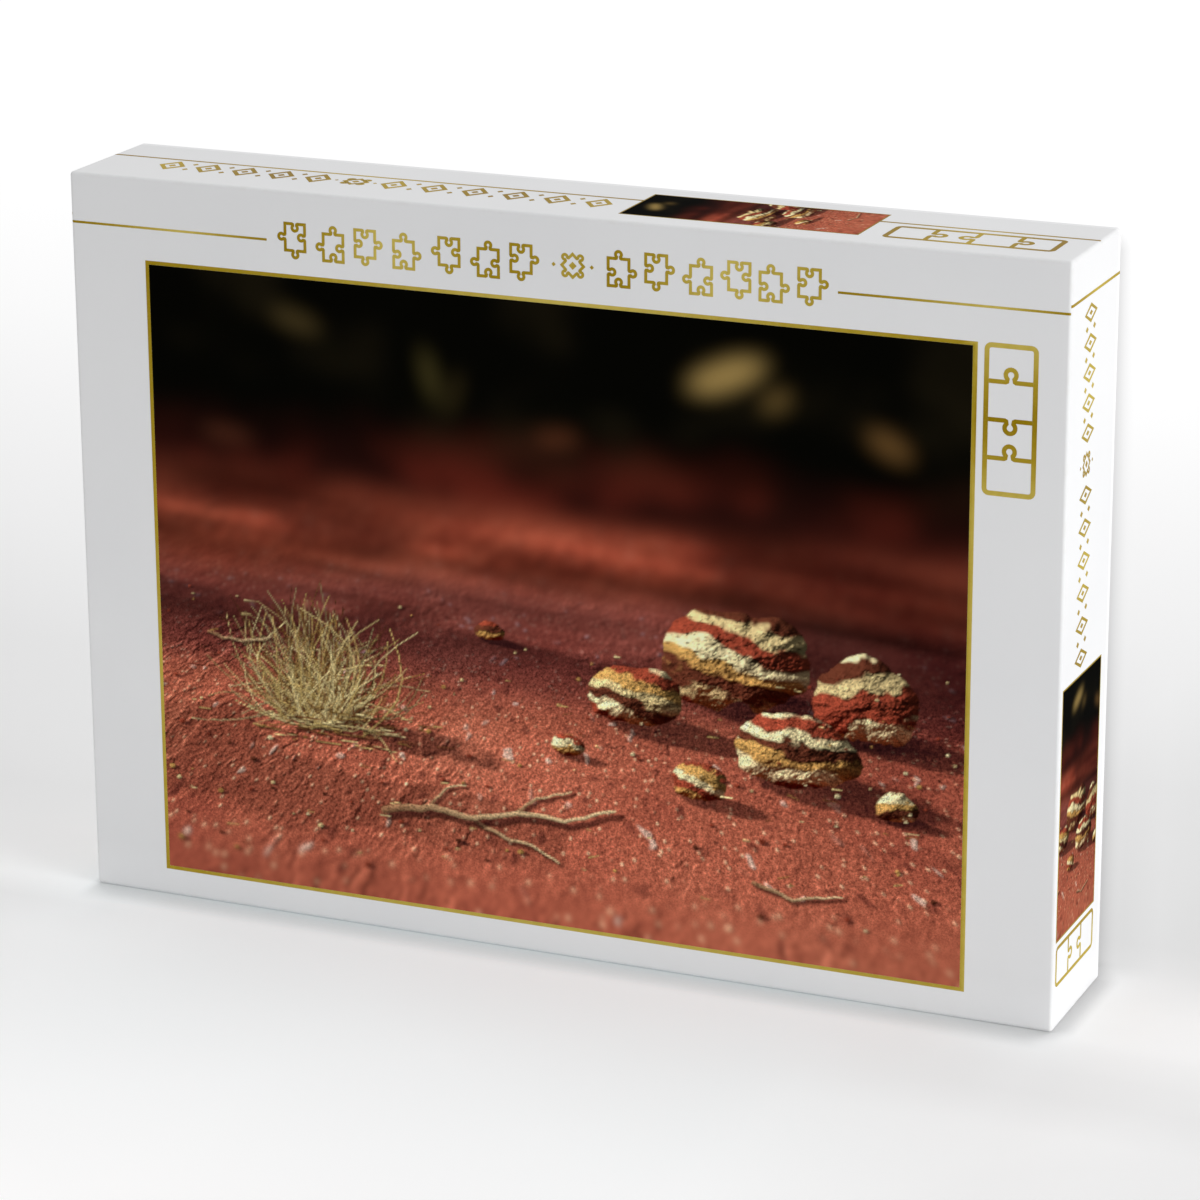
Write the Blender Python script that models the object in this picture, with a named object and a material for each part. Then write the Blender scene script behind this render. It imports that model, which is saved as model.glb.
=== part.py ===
"""Jigsaw puzzle box: a flat two-piece carton of wrapped greyboard.

The lid, whose panel carries the printed picture, telescopes over the whole
tray.  The box stands on one long edge with the picture side towards -Y, as
it does on a shop shelf.  The tray's floor stands a little proud of the lid's
rim, so that the box lies on the tray when it is laid down.

Metres, +Z up.  X runs along the width, Y through the thickness with the
picture side at -Y, and Z up the height.  The origin is under the middle of
the box, on the surface that it stands on.
"""

import math

import bmesh
import bpy

# ---------------------------------------------------------------- dimensions

BOX_WIDTH = 0.370        # along X
BOX_HEIGHT = 0.269       # along Z
BOX_DEPTH = 0.055        # along Y, lid and tray closed

BOARD = 0.0012           # greyboard and its wrap
LID_DEPTH = 0.0535       # picture face to rim
CLEARANCE = 0.0003       # lid wall to tray wall, all round
PANEL_GAP = 0.0005       # inside of the lid's panel to the tray's rim

LID_EDGE_R = 0.0014      # roll of the wrapped edge round the picture panel
LID_CORNER_R = 0.0018    # upright corners of the lid
TRAY_EDGE_R = 0.0010     # edge round the tray's floor
TRAY_CORNER_R = 0.0014   # upright corners of the tray
INNER_CORNER_R = 0.0008  # least radius of the folded board inside a corner
RIM_BREAK = 0.00025      # softened edges of the turned-in rims

EDGE_STEPS = 4           # facets across a rolled edge
CORNER_STEPS = 4         # facets round an upright corner

# --------------------------------------------------------- derived positions

FRONT_Y = -BOX_DEPTH / 2
BACK_Y = BOX_DEPTH / 2
LID_RIM_Y = FRONT_Y + LID_DEPTH
TRAY_INSET = BOARD + CLEARANCE
TRAY_RIM_Y = FRONT_Y + BOARD + PANEL_GAP
TRAY_DEPTH = BACK_Y - TRAY_RIM_Y
MIDDLE_Z = BOX_HEIGHT / 2


def clear_scene():
    for obj in list(bpy.data.objects):
        bpy.data.objects.remove(obj, do_unlink=True)


def make_material(name, colour, roughness, metallic=0.0):
    material = bpy.data.materials.new(name)
    material.use_nodes = True
    shader = material.node_tree.nodes["Principled BSDF"]
    shader.inputs["Base Color"].default_value = (*colour, 1.0)
    shader.inputs["Roughness"].default_value = roughness
    shader.inputs["Metallic"].default_value = metallic
    material.diffuse_color = (*colour, 1.0)
    return material


def rounded_outline(width, height, radius, steps):
    """Points (x, z) of a rectangle with round corners, once round."""
    points = []
    for quarter, (sx, sz) in enumerate(((1, 1), (-1, 1), (-1, -1), (1, -1))):
        cx = sx * (width / 2 - radius)
        cz = sz * (height / 2 - radius)
        for i in range(steps + 1):
            angle = math.radians(90 * quarter + 90 * i / steps)
            points.append((cx + radius * math.cos(angle), cz + radius * math.sin(angle)))
    return points


def tray_stations(depth, board, edge_r, rim_break, steps):
    """Profile of an open box from its closed face, over the rim, to its inner floor.

    Each station is (inset from the outer wall, distance from the closed face).
    """
    outer = []
    for i in range(steps + 1):
        angle = math.radians(90 * i / steps)
        outer.append((edge_r * (1 - math.sin(angle)), edge_r * (1 - math.cos(angle))))
    rim = [
        (0.0, depth - rim_break),
        (rim_break, depth),
        (board - rim_break, depth),
        (board, depth - rim_break),
    ]
    return outer + rim + [(board, board)]


def open_box(name, width, height, depth, edge_r, corner_r, facing, material):
    """An open box of board with its closed face at local y = 0.

    facing is +1 where the walls run towards +Y and -1 where they run towards -Y.
    """
    mesh = bpy.data.meshes.new(name)
    bm = bmesh.new()
    loops = []
    for inset, along in tray_stations(depth, BOARD, edge_r, RIM_BREAK, EDGE_STEPS):
        radius = corner_r - inset
        if inset >= BOARD - RIM_BREAK - 1e-9 and along > edge_r - 1e-9 or along == BOARD:
            radius = max(radius, INNER_CORNER_R)
        outline = rounded_outline(width - 2 * inset, height - 2 * inset, radius, CORNER_STEPS)
        loops.append([bm.verts.new((x, facing * along, z)) for x, z in outline])
    for near, far in zip(loops, loops[1:]):
        count = len(near)
        for i in range(count):
            j = (i + 1) % count
            bm.faces.new((near[i], near[j], far[j], far[i]))
    bm.faces.new(loops[0])
    bm.faces.new(loops[-1])
    bmesh.ops.recalc_face_normals(bm, faces=bm.faces)
    bm.to_mesh(mesh)
    bm.free()
    mesh.materials.append(material)
    mesh.shade_smooth()
    mesh.set_sharp_from_angle(angle=math.radians(35))
    obj = bpy.data.objects.new(name, mesh)
    bpy.context.scene.collection.objects.link(obj)
    return obj


def make_empty(name, location, parent=None):
    empty = bpy.data.objects.new(name, None)
    empty.empty_display_size = 0.03
    empty.parent = parent
    empty.location = location
    bpy.context.scene.collection.objects.link(empty)
    return empty


def build():
    clear_scene()
    lid_wrap = make_material("lid_wrap", (0.80, 0.80, 0.81), 0.38)
    tray_wrap = make_material("tray_wrap", (0.82, 0.82, 0.81), 0.55)

    box = make_empty("puzzle_box", (0.0, 0.0, 0.0))

    # The tray stays put: floor at the back, open towards the picture side.
    tray = open_box(
        "tray",
        BOX_WIDTH - 2 * TRAY_INSET,
        BOX_HEIGHT - 2 * TRAY_INSET,
        TRAY_DEPTH,
        TRAY_EDGE_R,
        TRAY_CORNER_R,
        -1,
        tray_wrap,
    )
    tray.parent = box
    tray.location = (0.0, BACK_Y, MIDDLE_Z)

    # The lid draws off straight towards -Y.
    lid_slide = make_empty("lid_slide", (0.0, FRONT_Y, MIDDLE_Z), box)
    lid = open_box(
        "lid",
        BOX_WIDTH,
        BOX_HEIGHT,
        LID_DEPTH,
        LID_EDGE_R,
        LID_CORNER_R,
        1,
        lid_wrap,
    )
    lid.parent = lid_slide


build()
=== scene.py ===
"""Looks of a jigsaw puzzle box: a lid and a tray of greyboard wrapped in white paper.

Every surface is a thin closed solid: the paper wrap over the greyboard, and
over the wrap the printed gold and the printed pictures.  The pictures are
painted here by functions (sand, stones, dry grass, twigs) into an attribute
of their own fine grids.
"""

import math

import bmesh
import bpy
import numpy as np
from mathutils import Matrix, Vector


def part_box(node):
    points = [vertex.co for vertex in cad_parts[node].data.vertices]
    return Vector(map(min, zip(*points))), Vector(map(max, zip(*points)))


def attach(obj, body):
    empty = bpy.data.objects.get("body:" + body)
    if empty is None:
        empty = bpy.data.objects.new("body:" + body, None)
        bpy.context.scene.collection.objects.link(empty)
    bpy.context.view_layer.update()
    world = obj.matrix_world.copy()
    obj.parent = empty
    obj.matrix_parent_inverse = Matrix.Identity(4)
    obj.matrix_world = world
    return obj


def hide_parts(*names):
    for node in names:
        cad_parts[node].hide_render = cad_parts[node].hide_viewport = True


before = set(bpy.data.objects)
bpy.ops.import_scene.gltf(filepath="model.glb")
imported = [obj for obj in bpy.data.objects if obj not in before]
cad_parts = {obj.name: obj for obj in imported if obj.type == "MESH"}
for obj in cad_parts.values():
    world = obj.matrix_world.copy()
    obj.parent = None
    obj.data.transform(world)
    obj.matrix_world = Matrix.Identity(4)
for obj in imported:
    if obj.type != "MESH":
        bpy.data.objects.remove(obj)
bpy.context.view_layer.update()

MM = 0.001
LID_LO, LID_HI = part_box("lid")
TRAY_LO, TRAY_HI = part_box("tray")

SKIN = 0.08 * MM          # the wrap lies this far inside the solid, to leave room for the print
PAPER = 0.15 * MM         # wrap
BOARD = 1.12 * MM         # board with its wrap on both sides
TURN_IN = 16.0 * MM       # wrap folded over the rim and glued inside
LID_ROLL = 1.25 * MM      # radius of the lid's wrapped edges
TRAY_ROLL = 1.25 * MM
PROUD = 0.035 * MM        # height of a print over the wrap
SUNK = 0.045 * MM         # depth of a print's underside in the wrap

# ------------------------------------------------------------------- camera


def make_camera():
    """Where the photograph was taken from: worked out from the box's corners."""
    right = Vector((0.91930366, 0.39352623, -0.00422858))
    down = Vector((0.11459647, -0.27795326, -0.95373457))
    ahead = Vector((-0.37649492, 0.87628711, -0.30062016))
    data = bpy.data.cameras.new("camera")
    data.sensor_fit = "HORIZONTAL"
    data.sensor_width = 36.0
    data.lens = 134.55
    data.clip_start = 0.05
    data.clip_end = 60.0
    cam = bpy.data.objects.new("camera", data)
    bpy.context.scene.collection.objects.link(cam)
    rot = Matrix((right, -down, -ahead)).transposed().to_4x4()
    cam.matrix_world = Matrix.Translation((0.601263, -1.383989, 0.599958)) @ rot
    bpy.context.scene.camera = cam


# ------------------------------------------------------------ mesh helpers


def finish_mesh(name, verts, faces, material, point_data=None, vector_data=None, angle=40.0):
    """A closed mesh with its faces outwards, linked as an object at the origin."""
    mesh = bpy.data.meshes.new(name)
    verts = np.asarray(verts, np.float32)
    mesh.from_pydata([tuple(v) for v in verts.tolist()], [], faces)
    bm = bmesh.new()
    bm.from_mesh(mesh)
    bmesh.ops.recalc_face_normals(bm, faces=bm.faces)
    if bm.calc_volume(signed=True) < 0:
        bmesh.ops.reverse_faces(bm, faces=bm.faces)
    bm.to_mesh(mesh)
    bm.free()
    mesh.materials.append(material)
    mesh.shade_smooth()
    mesh.set_sharp_from_angle(angle=math.radians(angle))
    for key, values in (point_data or {}).items():
        layer = mesh.attributes.new(key, "FLOAT", "POINT")
        layer.data.foreach_set("value", np.asarray(values, np.float32).ravel())
    for key, values in (vector_data or {}).items():
        layer = mesh.attributes.new(key, "FLOAT_VECTOR", "POINT")
        layer.data.foreach_set("vector", np.asarray(values, np.float32).ravel())
    obj = bpy.data.objects.new(name, mesh)
    bpy.context.scene.collection.objects.link(obj)
    return obj


def stops(half, roll, pitch):
    """Grid lines across a face: close over the rolled edges, even between them."""
    core = half - roll
    edge = [core + roll * math.tan(math.radians(a)) for a in (9, 18, 27, 36, 45)]
    inner = core - 3.0 * MM
    count = max(2, int(round(2 * inner / pitch)))
    even = np.linspace(-inner, inner, count + 1).tolist()
    near = [core - 1.0 * MM, core]
    return [-e for e in reversed(edge)] + [-n for n in reversed(near)] + even + near + edge


def open_shell(name, lo, hi, roll, facing, rows, material):
    """A closed sheet that forms an open box.

    rows are ((depth, along), (depth, along)) for the sheet's two sides, from the
    closed face to the sheet's end: depth under the box's outer surface, and
    distance from the closed face.  The first row is the panel itself.
    """
    cx, cz = (lo.x + hi.x) / 2, (lo.z + hi.z) / 2
    hx, hz = (hi.x - lo.x) / 2 - SKIN, (hi.z - lo.z) / 2 - SKIN
    y0 = lo.y + SKIN if facing > 0 else hi.y - SKIN
    xs, zs = stops(hx, roll, 12 * MM), stops(hz, roll, 12 * MM)
    nx, nz = len(xs), len(zs)

    def place(x, y, z, depth):
        c = np.array((np.clip(x, -hx + roll, hx - roll), max(y, roll), np.clip(z, -hz + roll, hz - roll)))
        away = np.array((x, y, z)) - c
        p = c + away / np.linalg.norm(away) * (roll - depth)
        return (cx + p[0], y0 + facing * p[1], cz + p[2])

    rim = ([(i, 0) for i in range(nx)] + [(nx - 1, k) for k in range(1, nz)]
           + [(i, nz - 1) for i in range(nx - 2, -1, -1)] + [(0, k) for k in range(nz - 2, 0, -1)])
    verts, faces, edge = [], [], []

    def wear(x, y, z):
        """1 on the rolled edges, 0 on the flats."""
        gaps = sorted((hx - abs(x), hz - abs(z), y))
        return float(np.clip(1.25 - gaps[1] / (roll + 1.0 * MM), 0, 1))

    last = []
    for side in (0, 1):
        depth = rows[0][side][0]
        base = len(verts)
        for k in range(nz):
            for i in range(nx):
                verts.append(place(xs[i], 0.0, zs[k], depth))
                edge.append(wear(xs[i], 0.0, zs[k]))
        for k in range(nz - 1):
            for i in range(nx - 1):
                a = base + k * nx + i
                faces.append((a, a + 1, a + nx + 1, a + nx))
        ring = [base + k * nx + i for i, k in rim]
        for row in rows[1:]:
            depth, along = row[side]
            fresh = []
            for i, k in rim:
                fresh.append(len(verts))
                verts.append(place(xs[i], along, zs[k], depth))
                edge.append(wear(xs[i], along, zs[k]))
            for j in range(len(rim)):
                m = (j + 1) % len(rim)
                faces.append((ring[j], ring[m], fresh[m], fresh[j]))
            ring = fresh
        last.append(ring)
    for j in range(len(rim)):
        m = (j + 1) % len(rim)
        faces.append((last[0][j], last[0][m], last[1][m], last[1][j]))
    return finish_mesh(name, verts, faces, material, {"edge": edge}, angle=50.0)


def roll_rows(depth_a, depth_b, roll):
    return [((depth_a, roll * (1 - math.tan(math.radians(a)))),
             (depth_b, roll * (1 - math.tan(math.radians(a))))) for a in (36, 27, 18, 9, 0)]


def wrap_rows(deep, roll):
    """Paper over panel and walls, over the rim, and turned in."""
    fold = 0.55 * MM
    rows = [((0.0, 0.0), (PAPER, 0.0))] + roll_rows(0.0, PAPER, roll)
    for y in (roll + 1.0 * MM, 12 * MM, 24 * MM, 36 * MM, 46 * MM, deep - 3 * MM, deep - fold):
        if y > rows[-1][0][1]:
            rows.append(((0.0, y), (PAPER, y)))
    for a in (22.5, 45, 67.5, 90):
        s, c = math.sin(math.radians(a)), math.cos(math.radians(a))
        rows.append(((fold * (1 - c), deep - fold * (1 - s)),
                     (fold - (fold - PAPER) * c, deep - fold + (fold - PAPER) * s)))
    for a in (0, 22.5, 45, 67.5, 90):
        s, c = math.sin(math.radians(a)), math.cos(math.radians(a))
        rows.append(((BOARD - fold + fold * s, deep - fold + fold * c),
                     (BOARD - fold + (fold - PAPER) * s, deep - fold + (fold - PAPER) * c)))
    for y in (deep - 4 * MM, deep - 9 * MM, deep - TURN_IN):
        rows.append(((BOARD, y), (BOARD - PAPER, y)))
    return rows


def board_rows(deep, roll):
    gap = 0.01 * MM
    a, b = PAPER + gap, BOARD - PAPER - gap
    rows = [((a, 0.0), (b, 0.0))] + roll_rows(a, b, roll)
    for y in (roll + 1.0 * MM, 12 * MM, 24 * MM, 36 * MM, 46 * MM, deep - PAPER - 0.3 * MM):
        if y > rows[-1][0][1]:
            rows.append(((a, y), (b, y)))
    end = deep - PAPER - gap
    rows.append(((a + 0.15 * MM, end), (b - 0.15 * MM, end)))
    return rows


# ---------------------------------------------------------------- prints
#
# A print is laid out in millimetres on one side of the lid:
#   front   u from the left edge, v up from the bottom
#   top     u from the left edge, v back from the picture face
#   right   u back from the picture face, v up      (left: the same)
#   bottom  u from the left edge, v back from the picture face


def on_side(side, u, v, height):
    """Points of a layout, that far above the wrap; near the lid's edges they follow the roll."""
    u, v = np.asarray(u, float) * MM, np.asarray(v, float) * MM
    lo = np.array(LID_LO) + (SKIN, SKIN, SKIN)
    hi = np.array(LID_HI) - (SKIN, 0.0, SKIN)
    x, y, z = LID_LO.x + u, LID_LO.y + v, LID_LO.z + v
    full = np.broadcast_to
    shape = np.broadcast(u, v).shape
    if side == "front":
        parts = (x, full(lo[1], shape), z)
    elif side == "top":
        parts = (x, y, full(hi[2], shape))
    elif side == "bottom":
        parts = (x, y, full(lo[2], shape))
    elif side == "right":
        parts = (full(hi[0], shape), LID_LO.y + u, z)
    else:
        parts = (full(lo[0], shape), LID_LO.y + u, z)
    p = np.stack([full(q, shape) for q in parts], -1).reshape(-1, 3)
    p = np.clip(p, lo, (hi[0], 1.0, hi[2]))
    core = np.clip(p, lo + LID_ROLL, (hi[0] - LID_ROLL, 1.0, hi[2] - LID_ROLL))
    away = p - core
    away /= np.linalg.norm(away, axis=1)[:, None]
    return core + away * (LID_ROLL + height)


class Layout:
    """Flat shapes on one side of the lid, each with a tone along it, made into thin solids."""

    def __init__(self, side, tone):
        self.side, self.tone = side, tone
        self.points, self.faces = [], []

    def add(self, points, faces):
        base = len(self.points)
        self.points += [tuple(p) for p in points]
        self.faces += [tuple(base + i for i in f) for f in faces]

    def bar(self, u0, v0, u1, v1, pitch=5.0):
        """A rectangle along u, cut across; the cuts are close together where it goes over an edge of the lid."""
        points, faces = [], []
        cuts = [u0]
        while cuts[-1] < u1 - 1e-6:
            u = cuts[-1]
            fine = u < 2.6 or u > 367.0
            step = 0.22 if fine else min(pitch, 367.1 - u)
            cuts.append(min(u + step, u1))
        for i, u in enumerate(cuts):
            points += [(u, v0), (u, v1)]
            if i:
                faces.append((2 * i - 2, 2 * i, 2 * i + 1, 2 * i - 1))
        self.add(points, faces)

    def frame(self, u0, v0, u1, v1, border, last=None, pitch=5.0):
        """A rectangular ring with mitred corners; its side at u1 may have a border of its own, last."""
        points, faces = [], []
        last = last or border
        corners = ((u0, v0), (u1, v0), (u1, v1), (u0, v1))
        inner = ((u0 + border, v0 + border), (u1 - last, v0 + border),
                 (u1 - last, v1 - border), (u0 + border, v1 - border))
        for c in range(4):
            a, b = np.array(corners[c]), np.array(corners[(c + 1) % 4])
            ai, bi = np.array(inner[c]), np.array(inner[(c + 1) % 4])
            n = max(1, int(math.ceil(np.abs(b - a).max() / pitch)))
            for i in range(n):
                points += [tuple(a + (b - a) * i / n), tuple(ai + (bi - ai) * i / n)]
        count = len(points) // 2
        for i in range(count):
            j = (i + 1) % count
            faces.append((2 * i, 2 * j, 2 * j + 1, 2 * i + 1))
        self.add(points, faces)

    def stroke(self, line, width, closed=True):
        """A line of points drawn with a pen of that width, mitred at its corners."""
        p = np.array(line, float)
        n = len(p)
        if closed:
            before, after = np.roll(p, 1, 0), np.roll(p, -1, 0)
        else:
            before, after = np.vstack((2 * p[0] - p[1], p[:-1])), np.vstack((p[1:], 2 * p[-1] - p[-2]))
        d0, d1 = p - before, after - p
        d0 /= np.linalg.norm(d0, axis=1)[:, None]
        d1 /= np.linalg.norm(d1, axis=1)[:, None]
        n0, n1 = np.stack((-d0[:, 1], d0[:, 0]), 1), np.stack((-d1[:, 1], d1[:, 0]), 1)
        m = n0 + n1
        m /= np.linalg.norm(m, axis=1)[:, None]
        reach = width / 2 / np.maximum((m * n1).sum(1), 0.5)
        left, right = p + m * reach[:, None], p - m * reach[:, None]
        points = [tuple(q) for pair in zip(left, right) for q in pair]
        faces = []
        for i in range(n if closed else n - 1):
            j = (i + 1) % n
            faces.append((2 * i, 2 * j, 2 * j + 1, 2 * i + 1))
        self.add(points, faces)

    def build(self, name, material):
        """All the shapes as thin closed solids, sunk a little into the wrap."""
        p = np.array(self.points)
        top = on_side(self.side, p[:, 0], p[:, 1], PROUD)
        under = on_side(self.side, p[:, 0], p[:, 1], -SUNK)
        n = len(p)
        faces = [tuple(f) for f in self.faces] + [tuple(n + i for i in reversed(f)) for f in self.faces]
        seen = {}
        for f in self.faces:
            for a, b in zip(f, f[1:] + f[:1]):
                seen[(a, b)] = seen.get((a, b), 0) + 1
        for a, b in seen:
            if (b, a) not in seen:
                faces.append((b, a, n + a, n + b))
        tone = [self.tone(u, v) for u, v in self.points] * 2
        obj = finish_mesh(name, np.vstack((top, under)), faces, material, {"tone": tone}, angle=30.0)
        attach(obj, "lid")
        return obj


# ------------------------------------------------- jigsaw piece ornaments


def side_of_piece(a, b, kind, size):
    """Points from a towards b: straight, or with a knob to the right (1) or the left (-1) of the way."""
    a, b = np.array(a, float), np.array(b, float)
    along = (b - a) / np.linalg.norm(b - a)
    out = np.array((along[1], -along[0])) * kind
    points = [a]
    if kind:
        mid = (a + b) / 2
        neck, knob, rise = 0.50 * size, 0.76 * size, 1.02 * size
        start = math.degrees(math.acos(neck / knob))
        points += [mid - along * neck * 1.5, mid - along * neck * 1.12 + out * 0.10 * size]
        for t in np.linspace(180 + start, -start, 15):
            r = math.radians(t)
            points.append(mid + along * knob * math.cos(r) + out * (rise + knob * math.sin(r)))
        points += [mid + along * neck * 1.12 + out * 0.10 * size, mid + along * neck * 1.5]
    return points


def jigsaw_outline(cx, cy, w, h, kinds, size, turn=0):
    """Centre line of one piece: kinds for its lower, right, upper and left sides; 1 knob, -1 hollow, 0 straight."""
    corners = [(-w / 2, -h / 2), (w / 2, -h / 2), (w / 2, h / 2), (-w / 2, h / 2)]
    points = []
    for i in range(4):
        points += side_of_piece(corners[i], corners[(i + 1) % 4], kinds[i], size)
    p = np.array(points)
    if turn:
        c, s = math.cos(math.radians(turn)), math.sin(math.radians(turn))
        p = p @ np.array(((c, s), (-s, c)))
    return p + np.array((cx, cy))


def ornament_row(layout, start, end, centre, height, pen, count, across=False, flip=0):
    """A row of pieces, each with a knob up or down by turns and one to a side."""
    size = height * 0.107
    knob = 1.78 * size
    tall = height - pen - knob
    wide = tall * 0.80
    total = wide + knob + pen
    gap = (abs(end - start) - total * count) / (count - 1)
    sign = 1 if end > start else -1
    for k in range(count):
        c = start + sign * (total / 2 + k * (total + gap))
        up = 1 if (k + flip) % 2 else -1
        way = 1 if (k // 2 + flip) % 2 else -1
        kinds = (-up, way, up, -way)
        line = jigsaw_outline(-way * knob / 2, -up * knob / 2, wide, tall, kinds, size)
        layout.stroke(line + (c, centre), pen)


def lozenge_row(layout, start, end, centre, wide, height, pen, count, across=False):
    """A row of lozenges for the narrow walls, each round a small one, with a dot in each gap."""
    sign = 1 if end > start else -1
    gap = (abs(end - start) - wide * count) / (count - 1)

    def lozenge(c, w, h):
        line = [(c - w / 2, centre), (c, centre - h / 2), (c + w / 2, centre), (c, centre + h / 2)]
        return [(b, a) for a, b in line] if across else line

    for k in range(count):
        c = start + sign * (wide / 2 + k * (wide + gap))
        layout.stroke(lozenge(c, wide - 1.5 * pen, height - 1.5 * pen), pen)
        layout.add(lozenge(c, 0.26 * wide, 0.26 * height), [(0, 1, 2, 3)])
        if k < count - 1:
            for way in (-1, 1):
                m, q = c + sign * (wide + gap) / 2, 0.11 * height
                spot = lozenge(m, 1.5 * q, 2 * q)
                layout.add([(a + (way * 0.30 * height if across else 0), b + (0 if across else way * 0.30 * height))
                            for a, b in spot], [(0, 1, 2, 3)])


def emblem(layout, cu, cv, size, pen):
    """A four-knobbed piece on its corner, round a small lozenge."""
    layout.stroke(jigsaw_outline(cu, cv, size * 0.52, size * 0.52, (1, 1, 1, 1), size * 0.105, 45), pen)
    r = size * 0.13
    layout.add([(cu - r, cv), (cu, cv - r), (cu + r, cv), (cu, cv + r)], [(0, 1, 2, 3)])
    for way in (-1, 1):
        c, q = cu + way * size * 0.64, size * 0.07
        layout.add([(c - q, cv), (c, cv - q), (c + q, cv), (c, cv + q)], [(0, 1, 2, 3)])


def ornament_strip(layout, u0, v0, u1, v1, cells, pen):
    """A block of pieces in one row, joined by their knobs."""
    tall = abs(v1 - v0) > abs(u1 - u0)
    half = pen / 2
    a0, a1, b0, b1 = (v0, v1, u0, u1) if tall else (u0, u1, v0, v1)
    r = 1.6

    def turn(points):
        return [(b, a) for a, b in points] if tall else points

    outline = []
    for quarter, (ca, cb) in enumerate(((a1 - half - r, b1 - half - r), (a0 + half + r, b1 - half - r),
                                        (a0 + half + r, b0 + half + r), (a1 - half - r, b0 + half + r))):
        for i in range(5):
            t = math.radians(90 * quarter + 90 * i / 4)
            outline.append((ca + r * math.cos(t), cb + r * math.sin(t)))
    fine = []
    for p, q in zip(outline, outline[1:] + outline[:1]):
        p, q = np.array(p), np.array(q)
        n = max(1, int(np.linalg.norm(q - p) / 5))
        fine += [tuple(p + (q - p) * i / n) for i in range(n)]
    layout.stroke(turn(fine), pen)
    size = 0.150 * min((a1 - a0) / cells * 1.25, b1 - b0)
    for k in range(1, cells):
        a = a0 + (a1 - a0) * k / cells
        line = side_of_piece((a, b0 + pen + 0.03), (a, b1 - pen - 0.03), 1 if k % 2 else -1, size)
        layout.stroke(turn([tuple(p) for p in line] + [(a, b1 - pen - 0.03)]), pen * 0.9, closed=False)

# ------------------------------------------------------------- painting tools


def lattice(ix, iy, seed):
    """A repeatable number in 0..1 for each whole-numbered place."""
    n = (ix.astype(np.int64) * 374761393 + iy.astype(np.int64) * 668265263 + seed * 1442695041) & 0xFFFFFFFF
    n = ((n ^ (n >> 13)) * 1274126177) & 0xFFFFFFFF
    n = ((n ^ (n >> 16)) * 2246822519) & 0xFFFFFFFF
    return ((n ^ (n >> 15)) & 0xFFFFFF).astype(np.float32) / 16777216.0


def noise(x, y, seed=0):
    """Smooth noise, -1 to 1."""
    fx, fy = np.floor(x), np.floor(y)
    tx, ty = (x - fx).astype(np.float32), (y - fy).astype(np.float32)
    tx = tx * tx * tx * (tx * (tx * 6 - 15) + 10)
    ty = ty * ty * ty * (ty * (ty * 6 - 15) + 10)
    a, b = lattice(fx, fy, seed), lattice(fx + 1, fy, seed)
    c, d = lattice(fx, fy + 1, seed), lattice(fx + 1, fy + 1, seed)
    low = a + (b - a) * tx
    return 2 * (low + (c + (d - c) * tx - low) * ty) - 1


def fbm(x, y, octaves, seed=0, gain=0.5, lacunarity=2.03):
    total, amp, norm = 0.0, 1.0, 0.0
    turn_c, turn_s = math.cos(0.6), math.sin(0.6)
    for i in range(octaves):
        total = total + amp * noise(x, y, seed + 17 * i)
        norm += amp
        amp *= gain
        x, y = (x * turn_c - y * turn_s) * lacunarity + 3.7, (x * turn_s + y * turn_c) * lacunarity - 1.9
    return total / norm


def cells(x, y, seed=0):
    """Distance to the nearest and to the second nearest of scattered points, and the nearest one's number."""
    fx, fy = np.floor(x), np.floor(y)
    near = np.full(x.shape, 9.0, np.float32)
    second = near.copy()
    number = np.zeros(x.shape, np.float32)
    for dx in (-1, 0, 1):
        for dy in (-1, 0, 1):
            cx, cy = fx + dx, fy + dy
            d = np.hypot(x - cx - lattice(cx, cy, seed), y - cy - lattice(cx, cy, seed + 5)).astype(np.float32)
            closer = d < near
            second = np.where(closer, near, np.minimum(second, d))
            number = np.where(closer, lattice(cx, cy, seed + 9), number)
            near = np.where(closer, d, near)
    return near, second, number


def smooth(a, b, x):
    t = np.clip((x - a) / (b - a), 0, 1)
    return t * t * (3 - 2 * t)


def mix(a, b, t):
    """a to b by t; t may be a plane, and a or b a single colour or a plane of colours."""
    if np.ndim(t) == 2:
        t = t[..., None]
    return a + (b - a) * t


def srgb(*c):
    c = np.array(c, np.float32) / 255
    return np.where(c <= 0.04045, c / 12.92, ((c + 0.055) / 1.055) ** 2.4).astype(np.float32)


def blur(img, sigma):
    """Three moving means, close to a Gaussian blur."""
    width = int(round((math.sqrt(4 * sigma * sigma + 1) - 1) / 2))
    if width < 1:
        return img
    for _ in range(3):
        for axis in (0, 1):
            pad = [(0, 0)] * img.ndim
            pad[axis] = (width + 1, width)
            c = np.cumsum(np.pad(img, pad, mode="edge"), axis=axis, dtype=np.float64)
            n = img.shape[axis]
            hi = np.take(c, np.arange(n) + 2 * width + 1, axis=axis)
            lo = np.take(c, np.arange(n), axis=axis)
            img = ((hi - lo) / (2 * width + 1)).astype(np.float32)
    return img


def relief_light(height, x_step, y_step, sun):
    """How a height field catches light that comes from sun (x, y), scaled to a spread of 1."""
    gy, gx = np.gradient(height)
    lit = gx / x_step * -sun[0] + gy / y_step * sun[1]
    return lit / (lit.std() + 1e-9)


# --------------------------------------------------------------- the picture
#
# Banded stones, a tussock of dry grass and fallen twigs on red sand, under
# dark scrub that is out of focus.  u runs from 0 to 1.35 and v from 0 to 1.

WIDE, HIGH = 1120, 830


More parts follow.
